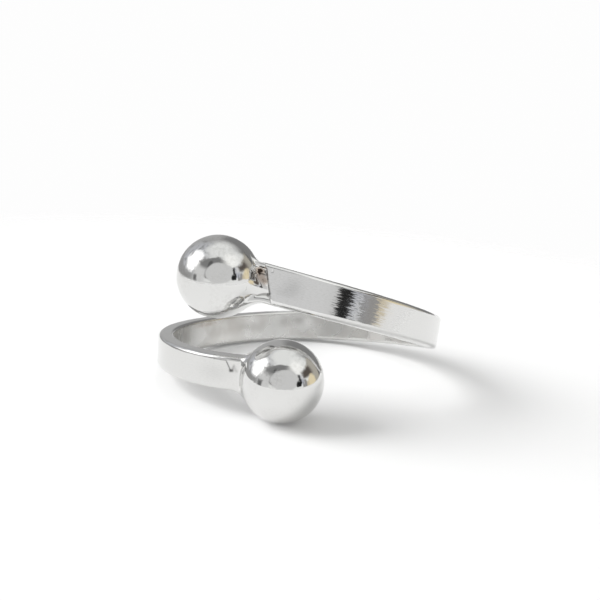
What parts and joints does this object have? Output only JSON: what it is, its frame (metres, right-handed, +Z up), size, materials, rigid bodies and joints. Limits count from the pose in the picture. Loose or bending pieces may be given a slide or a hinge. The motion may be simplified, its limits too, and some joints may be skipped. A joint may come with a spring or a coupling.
{
  "type": "bypass finger ring",
  "caption": "Open finger ring of flat silver strip wound past its own start, with a polished ball soldered on each overlapping end.",
  "frame": {"origin": "centre of the bounding box at the surface the ring lies on", "axes": "+Z up from the surface, -Y towards the front where the balls are, +X to the right seen from the front"},
  "size_m": [0.0202, 0.0218, 0.0113],
  "materials": {
    "silver": "polished silver, mirror bright on the balls and finely scratched on the band"
  },
  "bodies": {
    "root": {"ring": "silver"}
  },
  "joints": []
}
